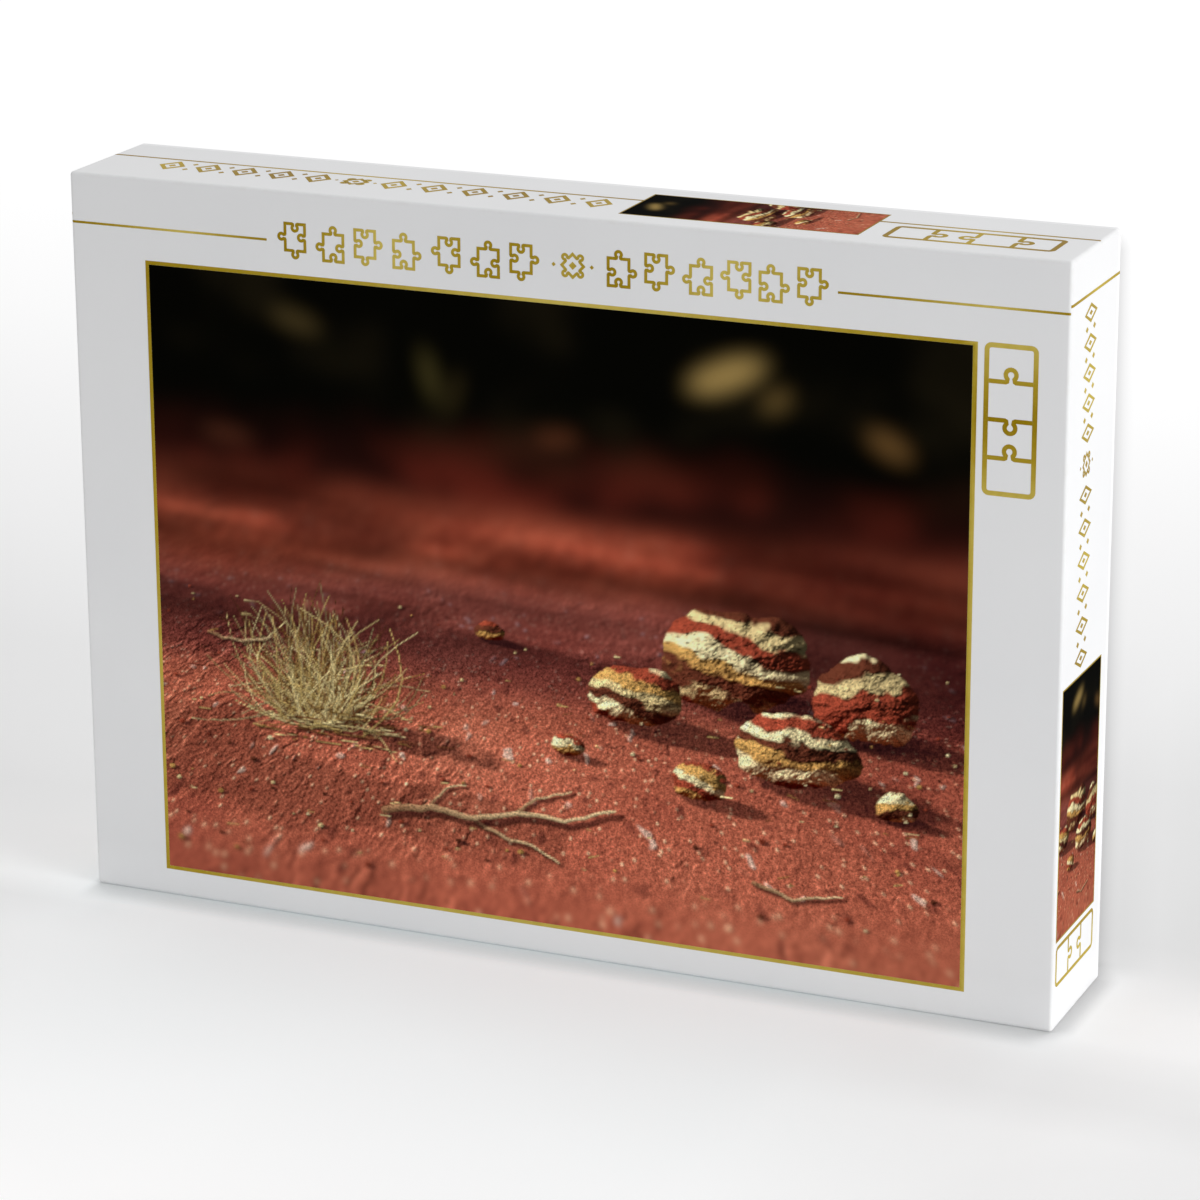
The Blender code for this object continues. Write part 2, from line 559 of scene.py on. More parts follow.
def paint():
    rng = np.random.default_rng(2718)
    v, u = np.mgrid[0:HIGH, 0:WIDE].astype(np.float32)
    u = (u + 0.5) / HIGH
    v = 1 - (v + 0.5) / HIGH

    # ---- sand, seen at a flat angle
    horizon = 0.93 + 0.02 * u
    far_off = 0.17 / np.maximum(horizon - v, 0.03)
    gx, gz = (u - 0.62) * far_off * 5.2, far_off * 5.2
    sun = (-0.85, 0.55)

    def lit(h):
        return relief_light(h, 1.0, 1.0, sun)
    wave = fbm(gx * 3.0, gz * 2.2, 3, 11)
    lumps = fbm(gx * 14, gz * 10, 3, 23, 0.6)
    bend_x, bend_z = fbm(gx * 30, gz * 22, 2, 29), fbm(gx * 30 + 9, gz * 22, 2, 30)
    n0, m0, k0 = cells(gx * 21 + 0.5 * bend_x, gz * 13 + 0.5 * bend_z, 27)
    n1, _, k1 = cells(gx * 46 + 0.7 * bend_x, gz * 32 + 0.7 * bend_z, 31)
    n2, _, k2 = cells(gx * 105, gz * 74, 37)
    n3 = fbm(gx * 210, gz * 150, 2, 43, 0.8)
    rough = smooth(-0.25, 0.45, fbm(gx * 3.4 + 5, gz * 2.4, 3, 47))       # where the ground is trodden up
    clods = smooth(0.0, 0.30, m0 - n0) * smooth(0.30, 0.95, k0) * rough
    crumbs = smooth(0.55, 0.0, n1) * (0.20 + 0.80 * k1 * k1)
    bits = smooth(0.55, 0.0, n2) * (0.25 + 0.75 * k2)
    relief = (0.50 * lit(clods) + (0.28 + 0.26 * rough) * lit(crumbs) + (0.34 + 0.16 * rough) * lit(bits)
              + 0.36 * lit(lumps) + 0.26 * n3 / 0.4 + 0.24 * lit(wave))
    relief = relief / relief.std()
    light = np.clip(0.93 + 0.33 * relief + 0.13 * wave - 0.05 * rough, 0.14, 2.2)
    tone = 0.5 + 0.5 * fbm(gx * 2.0, gz * 1.5, 4, 61)
    rust, brick, dust = srgb(168, 90, 68), srgb(138, 66, 52), srgb(196, 122, 94)
    sand = mix(brick, rust, smooth(0.20, 0.60, tone + 0.12 * relief))
    sand = mix(sand, dust, 0.55 * smooth(0.50, 1.0, tone + 0.14 * relief))
    sand = mix(sand, srgb(232, 190, 150), 0.75 * smooth(0.90, 0.985, k2) * smooth(0.50, 0.15, n2))
    sand = mix(sand, srgb(214, 188, 168), 0.70 * smooth(0.955, 0.99, k1) * smooth(0.45, 0.18, n1))
    sand = mix(sand, srgb(80, 34, 30), 0.60 * smooth(0.10, 0.02, k1) * smooth(0.50, 0.2, n1))
    sand = sand * light[..., None]

    # shade of things outside the picture lies across the ground in long bands
    band = 0.5 + 0.5 * np.sin((v * 30 + 2.5 * fbm(u * 2.2, v * 5, 3, 71) + u * 1.5))
    drift = fbm(u * 1.6 + 2.0, v * 6.0 + 0.7, 4, 73)
    shade = smooth(0.04, 0.36, drift + 0.35 * band - 0.22) * smooth(0.35, 0.46, v)
    near_shade = smooth(0.10, 0.22, fbm(u * 1.9 + 7, v * 7.0, 3, 77)) * smooth(0.05, 0.14, v) * smooth(0.42, 0.30, v)
    dusk = 1 - 0.66 * shade - 0.34 * near_shade
    sand = sand * dusk[..., None] + srgb(40, 16, 24) * (0.22 * shade)[..., None]

    # from the viewer away: full light, a broad cool shade, a warm band, and shade again under the scrub
    height = v + 0.030 * fbm(u * 1.7, v * 4.0, 3, 78)
    falloff = np.interp(height, (0.0, 0.31, 0.39, 0.50, 0.565, 0.625, 0.70), (1.12, 1.04, 0.52, 0.40, 0.66, 0.64, 0.34))
    sand = sand * falloff[..., None].astype(np.float32)
    away = smooth(0.36, 0.54, v)
    streak = fbm(u * 1.3 + 1.5 * v + 4.0, v * 19.0 + 1.2 * u, 4, 79, 0.6)
    sand = np.clip(sand * (1 + (1.10 * away * streak))[..., None], 0, None)
    cool = smooth(0.33, 0.42, height) * smooth(0.57, 0.50, height)
    sand = sand * mix(np.ones(3, np.float32), np.array((1.0, 0.86, 1.12), np.float32), cool)
    sand = sand * mix(np.ones(3, np.float32), np.array((1.08, 0.74, 0.68), np.float32), smooth(0.50, 0.58, height))

    # ---- scrub behind, far out of focus
    scrub = fbm(u * 6.0, v * 9.0, 4, 81)
    back = mix(srgb(5, 5, 3), srgb(24, 20, 11), smooth(-0.05, 0.75, scrub))
    low_scrub = smooth(0.80, 0.66, v + 0.05 * fbm(u * 5, v * 5, 3, 83))
    back = mix(back, mix(srgb(36, 13, 10), srgb(84, 30, 21), smooth(-0.3, 0.6, fbm(u * 9, v * 12, 3, 85))), low_scrub)
    crest = 0.680 + 0.020 * fbm(u * 2.3, u * 0 + 4.0, 3, 91) + 0.012 * np.sin(u * 5 + 1)
    img = mix(sand, back, smooth(-0.02, 0.02, v - crest))

    def patch(img, cx, cy, rx, ry, ang, colour, k):
        dx, dy = u - cx, v - cy
        a = math.cos(ang) * dx + math.sin(ang) * dy
        b = -math.sin(ang) * dx + math.cos(ang) * dy
        return mix(img, colour, k * smooth(1.2, 0.5, np.hypot(a / rx, b / ry) + 0.15 * fbm(u * 14, v * 14, 2, 7)))
    for spot in (
        (0.965, 0.915, 0.070, 0.022, 0.40, srgb(168, 140, 82), 0.80),
        (1.045, 0.885, 0.030, 0.014, 0.55, srgb(120, 96, 52), 0.60),
        (1.225, 0.835, 0.038, 0.016, -0.45, srgb(126, 92, 50), 0.55),
        (0.480, 0.870, 0.012, 0.050, 0.25, srgb(74, 66, 34), 0.70),
        (0.520, 0.845, 0.010, 0.040, -0.30, srgb(60, 50, 26), 0.60),
        (0.250, 0.935, 0.050, 0.014, -0.25, srgb(84, 70, 40), 0.60),
        (0.690, 0.790, 0.040, 0.010, 0.12, srgb(104, 58, 36), 0.60),
        (0.130, 0.740, 0.050, 0.012, -0.08, srgb(92, 50, 34), 0.55),
    ):
        img = patch(img, *spot)

    # ---- focus: sharp where the stones lie, soft behind and at the near edge
    soft, softer, softest = blur(img, 1.8), blur(img, 5.0), blur(img, 11.0)
    img = mix(img, soft, smooth(0.40, 0.47, v))
    img = mix(img, softer, smooth(0.46, 0.58, v))
    img = mix(img, softest, smooth(0.60, 0.70, v))
    img = mix(img, blur(img, 2.6), smooth(0.14, 0.02, v))
    sharp = smooth(0.50, 0.40, v) * smooth(0.01, 0.14, v)

    # ---- stones
    def put_stone(cx, cy, r, squash, seed, bands, tilt, palette):
        span = 1.45 * r
        x0, x1 = int(max(0, (cx - span) * HIGH)), int(min(WIDE, (cx + span) * HIGH))
        y0, y1 = int(max(0, (1 - cy - span) * HIGH)), int(min(HIGH, (1 - cy + span) * HIGH))
        px, py = (u[y0:y1, x0:x1] - cx) / r, (v[y0:y1, x0:x1] - cy) / (r * squash)
        ang = np.arctan2(py, px)
        ca, sa = np.cos(ang), np.sin(ang)
        rim = (1 + 0.13 * noise(ca * 1.4 + seed, sa * 1.4, seed) + 0.06 * noise(ca * 3.6 + seed, sa * 3.6, seed + 1)
               + 0.02 * noise(ca * 11 + seed, sa * 11, seed + 2) - 0.14 * smooth(-0.5, -0.95, sa))
        rad = np.hypot(px, py) / rim
        q = np.clip(rad, 0, 0.995)
        dome = np.sqrt(1 - q ** 2.3)
        facets, _, _ = cells(px * 1.5 + seed, py * 1.9, seed)
        rough = fbm(px * 5 + seed, py * 6, 4, seed + 3, 0.62)
        layer = (py + tilt * px) * bands + 0.9 * fbm(px * 2.2, py * 2.2, 3, seed + 7) + 0.12 * rough
        step = np.abs(np.mod(layer, 1.0) - 0.5) * 2
        pits, _, _ = cells(px * 11, py * 12, seed + 19)
        z = dome + 0.16 * facets + 0.085 * rough + 0.030 * smooth(0.0, 0.9, step) - 0.020 * smooth(0.28, 0.1, pits)
        gy, gx_ = np.gradient(z)
        k = r * HIGH
        nx, ny = -gx_ * k, gy * k * squash
        norm = np.sqrt(nx * nx + ny * ny + 1)
        sun_lit = np.clip((-0.66 * nx + 0.52 * ny + 0.50) / norm, 0, 1.2)
        sky = 0.5 + 0.5 * ny / norm
        cols = np.array(palette, np.float32)
        idx = np.floor(layer).astype(int)
        colour = mix(cols[idx % len(cols)], cols[(idx + 1) % len(cols)], smooth(0.62, 0.92, np.mod(layer, 1.0)))
        colour = colour * (1 + 0.28 * fbm(px * 18, py * 20, 3, seed + 11, 0.7) + 0.16 * rough)[..., None]
        spots, _, num = cells(px * 10, py * 11, seed + 13)
        colour = mix(colour, srgb(74, 30, 22), 0.6 * smooth(0.34, 0.14, spots) * smooth(0.70, 0.78, num))
        out = colour * (1.22 * sun_lit + 0.15 * sky)[..., None]
        out = out + colour * srgb(200, 96, 66) * (smooth(0.2, -0.9, py) * 0.24)[..., None]
        out = out * (1 - 0.50 * smooth(-0.55, -0.95, py))[..., None]
        cover = smooth(1.0, 1.0 - 1.5 / (r * HIGH), rad)
        foot = -0.80 + 0.11 * noise(px * 3 + seed, px * 0, seed + 21) + 0.05 * noise(px * 10, px * 0, seed + 22)
        cover = cover * smooth(foot - 0.015, foot + 0.02, py)
        img[y0:y1, x0:x1] = mix(img[y0:y1, x0:x1], np.clip(out, 0, 1.1), cover)

    def cast(img, cx, cy, r, squash, length):
        """A stone's shadow on the sand, away from the sun."""
        dx, dy = u - (cx + 0.25 * r), v - (cy - 0.74 * r * squash)
        a = dx / (r * (0.95 + length * smooth(-0.2, 1.0, dx / r)))
        b = (dy + 0.13 * dx) / (0.30 * r)
        d = np.hypot(a, b) + 0.09 * fbm(u * 40, v * 90, 2, 3)
        m = 0.86 * smooth(1.10, 0.86, d)
        return mix(img, img * 0.20 + srgb(34, 12, 18) * 0.45, m)

    cream, ochre, brown, red, pale = (srgb(236, 218, 166), srgb(200, 154, 86), srgb(96, 50, 34), srgb(150, 66, 46),
                                      srgb(216, 192, 136))
    stones = [
        (0.990, 0.470, 0.122, 0.74, 5, 3.4, 0.26, (cream, red, pale, brown, ochre)),
        (1.190, 0.428, 0.086, 0.84, 9, 2.8, -0.22, (red, pale, brown, cream, red)),
        (0.820, 0.392, 0.080, 0.70, 14, 3.0, 0.38, (pale, ochre, red, cream, brown)),
        (1.082, 0.338, 0.104, 0.64, 21, 3.2, 0.14, (brown, cream, red, cream, ochre)),
        (0.925, 0.268, 0.048, 0.74, 27, 2.2, 0.5, (cream, ochre, red)),
        (1.245, 0.272, 0.036, 0.76, 33, 1.9, -0.3, (ochre, cream, brown)),
        (0.708, 0.300, 0.027, 0.76, 39, 1.8, 0.2, (cream, red, ochre)),
        (0.575, 0.470, 0.026, 0.70, 43, 1.8, -0.2, (brown, red, ochre)),
    ]
    for s in stones:
        img = cast(img, s[0], s[1], s[2], s[3], 1.30)
    for s in stones:
        put_stone(*s)
    for _ in range(150):      # gravel
        cx, cy = rng.uniform(0.0, 1.35), rng.uniform(0.05, 0.50)
        r = rng.uniform(0.0018, 0.0055) * (1.25 - 1.2 * cy)
        c = (cream, ochre, brown, red, pale, red)[int(rng.uniform(0, 5.99))] * rng.uniform(0.55, 1.0)
        x0, x1 = int(max(0, (cx - 4 * r) * HIGH)), int(min(WIDE, (cx + 5 * r) * HIGH))
        y0, y1 = int(max(0, (1 - cy - 3 * r) * HIGH)), int(min(HIGH, (1 - cy + 3 * r) * HIGH))
        if x1 - x0 < 2 or y1 - y0 < 2:
            continue
        px, py = (u[y0:y1, x0:x1] - cx) / r, (v[y0:y1, x0:x1] - cy) / (r * 0.7)
        dark = 0.7 * smooth(1.3, 0.7, np.hypot((px - 1.1) / 1.7, py + 0.7))
        zone = mix(img[y0:y1, x0:x1], srgb(48, 20, 20), dark)
        rad = np.hypot(px, py)
        shine = np.clip(0.75 - 0.42 * px + 0.34 * py, 0.22, 1.35)
        img[y0:y1, x0:x1] = mix(zone, c * shine[..., None], smooth(1.0 + 0.8 / (r * HIGH), 1.0 - 0.8 / (r * HIGH), rad))

    # ---- dry grass and twigs, stroke by stroke
    def stroke(points, w0, w1, c0, c1, soft_px=0.8, k=1.0):
        p = np.array(points, np.float32)
        lo, hi = p.min(0) - max(w0, w1) - 0.006, p.max(0) + max(w0, w1) + 0.006
        x0, x1 = int(max(0, lo[0] * HIGH)), int(min(WIDE, hi[0] * HIGH + 1))
        y0, y1 = int(max(0, (1 - hi[1]) * HIGH)), int(min(HIGH, (1 - lo[1]) * HIGH + 1))
        if x1 <= x0 or y1 <= y0:
            return
        uu, vv = u[y0:y1, x0:x1], v[y0:y1, x0:x1]
        best = np.full(uu.shape, 9.0, np.float32)
        along, side = np.zeros(uu.shape, np.float32), np.zeros(uu.shape, np.float32)
        n = len(p) - 1
        for i in range(n):
            d = p[i + 1] - p[i]
            t = np.clip(((uu - p[i, 0]) * d[0] + (vv - p[i, 1]) * d[1]) / (float(d @ d) + 1e-12), 0, 1)
            ex, ey = uu - (p[i, 0] + t * d[0]), vv - (p[i, 1] + t * d[1])
            dist = np.hypot(ex, ey)
            c = dist < best
            best, along, side = np.where(c, dist, best), np.where(c, (i + t) / n, along), np.where(c, ey - 0.6 * ex, side)
        w = w0 + (w1 - w0) * along
        edge = soft_px / HIGH
        cover = k * smooth(w + edge, np.maximum(w - edge, 0), best)
        shade = np.clip(0.78 + 0.50 * side / np.maximum(w, 1e-4), 0.30, 1.30)
        img[y0:y1, x0:x1] = mix(img[y0:y1, x0:x1], mix(c0, c1, along) * shade[..., None], cover)

    def curve(a, b, bend, sag, n=7):
        a, b = np.array(a), np.array(b)
        d = b - a
        nrm = np.array((-d[1], d[0]))
        return [tuple(a + d * t + nrm * bend * math.sin(math.pi * t) + np.array((0, -sag * t * t))) for t in np.linspace(0, 1, n)]

    dx, dy = u - 0.40, v - 0.276
    d = np.hypot(dx / 0.20, (dy + 0.12 * dx) / 0.026) + 0.42 * fbm(u * 26, v * 60, 3, 97)
    img[:] = mix(img, img * 0.24 + srgb(34, 12, 18) * 0.4, 0.85 * smooth(1.10, 0.60, d))
    root = np.array((0.278, 0.288))
    straw = [srgb(238, 220, 158), srgb(208, 180, 110), srgb(152, 116, 62), srgb(108, 66, 38), srgb(228, 204, 138)]
    blades = []
    for i in range(430):
        theta = math.radians(rng.normal(92, 37))
        length = rng.uniform(0.07, 0.245) * (0.70 + 0.30 * math.sin(theta))
        base = root + np.array((rng.normal(0, 0.030), rng.normal(0, 0.0075)))
        tip = base + length * np.array((math.cos(theta), math.sin(theta) * 0.92))
        blades.append((base[1], base, tip, rng.normal(0, 0.13), rng.uniform(0, 0.035), rng.uniform(0, 1), rng.uniform(0.0008, 0.0017)))
    blades.sort(key=lambda s: -s[0])
    for i, (_, base, tip, bend, sag, pick, w) in enumerate(blades):
        forward = i / len(blades)
        c1 = straw[int(pick * 4.99)] * (0.32 + 0.80 * forward ** 1.3)
        c0 = mix(srgb(62, 28, 18), c1, 0.15 + 0.30 * forward)
        stroke(curve(base, tip, bend, sag, 6), w * 1.25, w * 0.25, c0, c1, 0.7)
    for _ in range(60):       # broken blades at its foot
        base = root + np.array((rng.normal(0.01, 0.075), rng.normal(-0.010, 0.014)))
        a = rng.uniform(-0.35, 0.35)
        L = rng.uniform(0.012, 0.05)
        c = straw[int(rng.uniform(0, 4.99))] * rng.uniform(0.5, 1.0)
        stroke([tuple(base + (0.003, -0.003)), (base[0] + L * math.cos(a) + 0.003, base[1] + L * math.sin(a) * 0.5 - 0.003)], 0.0014, 0.0008, srgb(50, 20, 18), srgb(50, 20, 18), 1.2, 0.6)
        stroke([tuple(base), (base[0] + L * math.cos(a), base[1] + L * math.sin(a) * 0.5)], 0.0012, 0.0005, c, c, 0.7)

    def twig(points, w):
        bark, bleached = srgb(150, 108, 76), srgb(224, 198, 150)
        under = srgb(46, 18, 18)
        stroke([(x + 1.6 * w, y - 1.4 * w) for x, y in points], w * 1.3, w * 0.8, under, under, 2.0, 0.75)
        stroke(points, w, w * 0.35, bark, bleached, 0.8)

    def crooked(points, n=26, sway=0.0035, seed=0):
        """A twig's line: the points joined, with small bends."""
        p = np.array(points)
        t = np.linspace(0, len(p) - 1, n)
        line = np.stack([np.interp(t, range(len(p)), p[:, i]) for i in (0, 1)], 1)
        line[:, 1] += sway * noise(t * 2.3 + seed, t * 0 + seed, 5) + 0.4 * sway * noise(t * 7.0, t * 0 + seed, 6)
        return [tuple(q) for q in line]
    twig(crooked([(0.545, 0.158), (0.585, 0.137), (0.640, 0.128), (0.690, 0.104)], 18, seed=3), 0.0036)
    twig(crooked([(0.620, 0.178), (0.655, 0.206), (0.712, 0.226)], 16, seed=5), 0.0032)
    twig(crooked([(0.470, 0.168), (0.492, 0.196), (0.532, 0.212)], 14, seed=7), 0.0028)
    twig(crooked([(0.390, 0.148), (0.470, 0.168), (0.545, 0.158), (0.620, 0.180), (0.700, 0.178), (0.785, 0.200)], seed=1), 0.0062)
    twig(crooked([(1.015, 0.118), (1.085, 0.102), (1.160, 0.120)], 16, seed=9), 0.0034)
    twig(crooked([(0.085, 0.408), (0.140, 0.398), (0.195, 0.413)], 14, seed=11), 0.0024)
    for _ in range(60):       # straws and splinters
        cx, cy = rng.uniform(0.02, 1.33), rng.uniform(0.06, 0.48)
        a, L = rng.uniform(-0.6, 0.6), rng.uniform(0.005, 0.022)
        c = straw[int(rng.uniform(0, 4.99))] * rng.uniform(0.5, 1.0)
        stroke([(cx, cy), (cx + L * math.cos(a), cy + L * math.sin(a) * 0.5)], rng.uniform(0.0008, 0.0018), 0.0004, c, c, 0.8)
    img[:] = mix(img, blur(img, 2.2), smooth(0.12, 0.03, v))
    r2 = ((u - 0.675) / 0.675) ** 2 + ((v - 0.45) / 0.62) ** 2
    img = img * (1.03 - 0.07 * np.clip(r2, 0, 1.6))[..., None]
    return np.clip(img, 0, 1).astype(np.float32), sharp.astype(np.float32)


# --------------------------------------------------------------- materials


class Nodes:
    """Short ways to lay out one material's nodes."""

    def __init__(self, name):
        self.material = bpy.data.materials.new(name)
        self.material.use_nodes = True
        self.tree = self.material.node_tree
        self.shader = self.tree.nodes["Principled BSDF"]
        self.place = self.add("ShaderNodeTexCoord").outputs["Object"]

    def add(self, kind, **settings):
        node = self.tree.nodes.new(kind)
        for key, value in settings.items():
            setattr(node, key, value)
        return node

    def feed(self, socket, value):
        if isinstance(value, bpy.types.NodeSocket):
            self.tree.links.new(value, socket)
        elif value is not None:
            if hasattr(value, "__len__") and len(value) == 3 and socket.type == "RGBA":
                value = (*value, 1.0)
            socket.default_value = value

    def noise(self, scale, detail=2.0, rough=0.5, at=None, stretch=None):
        node = self.add("ShaderNodeTexNoise")
        at = at or self.place
        if stretch:
            at = self.vector("MULTIPLY", at, stretch)
        self.feed(node.inputs["Vector"], at)
        self.feed(node.inputs["Scale"], scale)
        self.feed(node.inputs["Detail"], detail)
        self.feed(node.inputs["Roughness"], rough)
        return node.outputs["Fac"]

    def vector(self, operation, a, b):
        node = self.add("ShaderNodeVectorMath", operation=operation)
        self.feed(node.inputs[0], a)
        self.feed(node.inputs[1], b)
        return node.outputs["Vector"]

    def math(self, operation, a, b=0.5, c=None, clamp=False):
        node = self.add("ShaderNodeMath", operation=operation, use_clamp=clamp)
        self.feed(node.inputs[0], a)
        self.feed(node.inputs[1], b)
        if c is not None:
            self.feed(node.inputs[2], c)
        return node.outputs["Value"]

    def span(self, value, low, high, to_low=0.0, to_high=1.0):
        node = self.add("ShaderNodeMapRange", clamp=True)
        for key, v in zip(("Value", "From Min", "From Max", "To Min", "To Max"), (value, low, high, to_low, to_high)):
            self.feed(node.inputs[key], v)
        return node.outputs["Result"]

    def blend(self, factor, a, b, kind="MIX"):
        node = self.add("ShaderNodeMix", data_type="RGBA", blend_type=kind)
        self.feed(node.inputs["Factor"], factor)
        self.feed(node.inputs["A"], a)
        self.feed(node.inputs["B"], b)
        return node.outputs["Result"]

    def attribute(self, name):
        return self.add("ShaderNodeAttribute", attribute_name=name, attribute_type="GEOMETRY")

    def bump(self, height, distance, strength=1.0, after=None):
        node = self.add("ShaderNodeBump")
        self.feed(node.inputs["Height"], height)
        self.feed(node.inputs["Distance"], distance)
        self.feed(node.inputs["Strength"], strength)
        if after is not None:
            self.feed(node.inputs["Normal"], after)
        return node.outputs["Normal"]

    def surface(self, colour, roughness, normal=None, **fixed):
        self.feed(self.shader.inputs["Base Color"], colour)
        self.feed(self.shader.inputs["Roughness"], roughness)
        if normal is not None:
            self.feed(self.shader.inputs["Normal"], normal)
        for key, value in fixed.items():
            self.shader.inputs[key.replace("_", " ")].default_value = value
        return self.material


def coated_paper():
    """White wrap with a satin surface: faint clouding, fibre under the surface, a little rubbing on the edges, and
    painted light: lighter near the foot and towards the right, darker towards the top, with a painted highlight along
    the rear rim.
    """
    n = Nodes("coated_paper")
    cloud = n.noise(11.0, 3.0)
    fine = n.noise(420.0, 3.0, 0.6)
    colour = n.blend(n.span(cloud, 0.35, 0.65), (0.835, 0.838, 0.848), (0.862, 0.864, 0.870))
    colour = n.blend(n.span(fine, 0.60, 0.78, 0.0, 0.05), colour, (0.70, 0.69, 0.67))
    edge = n.attribute("edge").outputs["Fac"]
    rubbed = n.math("MULTIPLY", n.span(n.noise(160.0, 4.0, 0.65), 0.50, 0.72), n.span(edge, 0.35, 1.0))
    colour = n.blend(n.math("MULTIPLY", rubbed, 0.35), colour, (0.78, 0.765, 0.735))
    split = n.add("ShaderNodeSeparateXYZ")
    n.feed(split.inputs[0], n.place)
    # painted light: the wrap is made lighter near its foot and towards the right, darker towards the top, and lighter
    # in a painted highlight along the rear rim
    painted_light_tone = n.math("MULTIPLY", n.span(split.outputs["Z"], 0.002, 0.018, 1.070, 0.992), n.span(split.outputs["Z"], 0.10, 0.269, 1.0, 0.965))
    painted_light_tone = n.math("MULTIPLY", painted_light_tone, n.span(split.outputs["X"], -0.185, 0.185, 0.998, 1.032))
    painted_light_tone = n.math("MULTIPLY", painted_light_tone, n.span(split.outputs["Y"], LID_HI.y - 3.3 * MM, LID_HI.y - 2.7 * MM, 1.0, 1.09))
    even = n.add("ShaderNodeVectorMath", operation="SCALE")
    n.feed(even.inputs[0], colour)
    n.feed(even.inputs["Scale"], painted_light_tone)
    colour = even.outputs["Vector"]
    rough = n.math("ADD", n.span(cloud, 0.3, 0.7, 0.40, 0.47), n.math("MULTIPLY", rubbed, 0.25))
    normal = n.bump(n.noise(6.0, 2.0), 0.0009, 0.6)
    normal = n.bump(fine, 0.00002, 0.5, normal)
    normal = n.bump(n.noise(1900.0, 2.0), 0.000006, 0.6, normal)
    return n.surface(colour, rough, normal, IOR=1.46)


def plain_paper():
    """The tray's uncoated wrap: a little warmer, duller, with more fibre."""
    n = Nodes("plain_paper")
    cloud = n.noise(14.0, 3.0)
    fibre = n.noise(380.0, 4.0, 0.65, stretch=(1.0, 1.0, 0.35))
    colour = n.blend(n.span(cloud, 0.35, 0.65), (0.80, 0.795, 0.785), (0.835, 0.832, 0.825))
    colour = n.blend(n.span(fibre, 0.58, 0.75, 0.0, 0.10), colour, (0.66, 0.645, 0.61))
    edge = n.attribute("edge").outputs["Fac"]
    rubbed = n.math("MULTIPLY", n.span(n.noise(150.0, 4.0, 0.65), 0.48, 0.70), n.span(edge, 0.35, 1.0))
    colour = n.blend(n.math("MULTIPLY", rubbed, 0.40), colour, (0.72, 0.70, 0.66))
    normal = n.bump(n.noise(6.5, 2.0), 0.0009, 0.5)
    normal = n.bump(fibre, 0.00004, 0.6, normal)
    return n.surface(colour, n.span(fibre, 0.3, 0.7, 0.62, 0.74), normal)


def greyboard():
    """Recycled board: grey-brown pulp with darker and lighter fibres and flecks."""
    n = Nodes("greyboard")
    pulp = n.noise(60.0, 4.0, 0.6)
    flecks = n.noise(900.0, 3.0, 0.7)
    fibres = n.noise(330.0, 3.0, 0.6, stretch=(0.22, 1.0, 1.0))
    colour = n.blend(n.span(pulp, 0.35, 0.65), (0.415, 0.378, 0.328), (0.500, 0.462, 0.405))
    colour = n.blend(n.span(fibres, 0.60, 0.72, 0.0, 0.55), colour, (0.215, 0.185, 0.150))
    colour = n.blend(n.span(flecks, 0.62, 0.74, 0.0, 0.75), colour, (0.60, 0.565, 0.50))
    colour = n.blend(n.span(flecks, 0.36, 0.27, 0.0, 0.70), colour, (0.13, 0.115, 0.105))
    normal = n.bump(fibres, 0.00008, 0.7)
    normal = n.bump(flecks, 0.00005, 0.6, normal)
    return n.surface(colour, n.span(pulp, 0.3, 0.7, 0.80, 0.92), normal)


def gold_ink():
    """Printed gold: it shades from olive to pale gold along each line."""
    n = Nodes("gold_ink")
    tone = n.attribute("tone").outputs["Fac"]
    ramp = n.add("ShaderNodeValToRGB")
    ramp.color_ramp.elements[0].position = 0.0
    ramp.color_ramp.elements[0].color = (0.310, 0.200, 0.001, 1.0)
    ramp.color_ramp.elements[1].position = 1.0
    ramp.color_ramp.elements[1].color = (0.640, 0.505, 0.110, 1.0)
    middle = ramp.color_ramp.elements.new(0.45)
    middle.color = (0.420, 0.295, 0.020, 1.0)
    mottled = n.noise(260.0, 3.0, 0.6)
    n.feed(ramp.inputs["Fac"], n.math("ADD", tone, n.span(mottled, 0.3, 0.7, -0.07, 0.07)))
    speck = n.noise(1500.0, 2.0, 0.6)
    colour = n.blend(n.span(speck, 0.60, 0.75, 0.0, 0.16), ramp.outputs["Color"], (0.74, 0.64, 0.30))
    # painted shade: all the gold on the top and on the right wall is made darker and more yellow, against the brighter
    # light on those walls
    split = n.add("ShaderNodeSeparateXYZ")
    n.feed(split.inputs[0], n.place)
    upper = n.span(split.outputs["Z"], LID_HI.z - 0.0012, LID_HI.z - 0.0004)
    beside = n.span(split.outputs["X"], LID_HI.x - 0.0012, LID_HI.x - 0.0004)
    colour = n.blend(upper, colour, n.vector("MULTIPLY", colour, (0.84, 0.76, 0.30)))
    colour = n.blend(beside, colour, n.vector("MULTIPLY", colour, (0.94, 0.93, 0.45)))
    normal = n.bump(n.noise(900.0, 3.0), 0.00001, 0.6)
    material = n.surface(colour, n.span(mottled, 0.3, 0.7, 0.36, 0.48), normal, Metallic=0.10)
    n.shader.inputs["Specular IOR Level"].default_value = 0.05
    return material


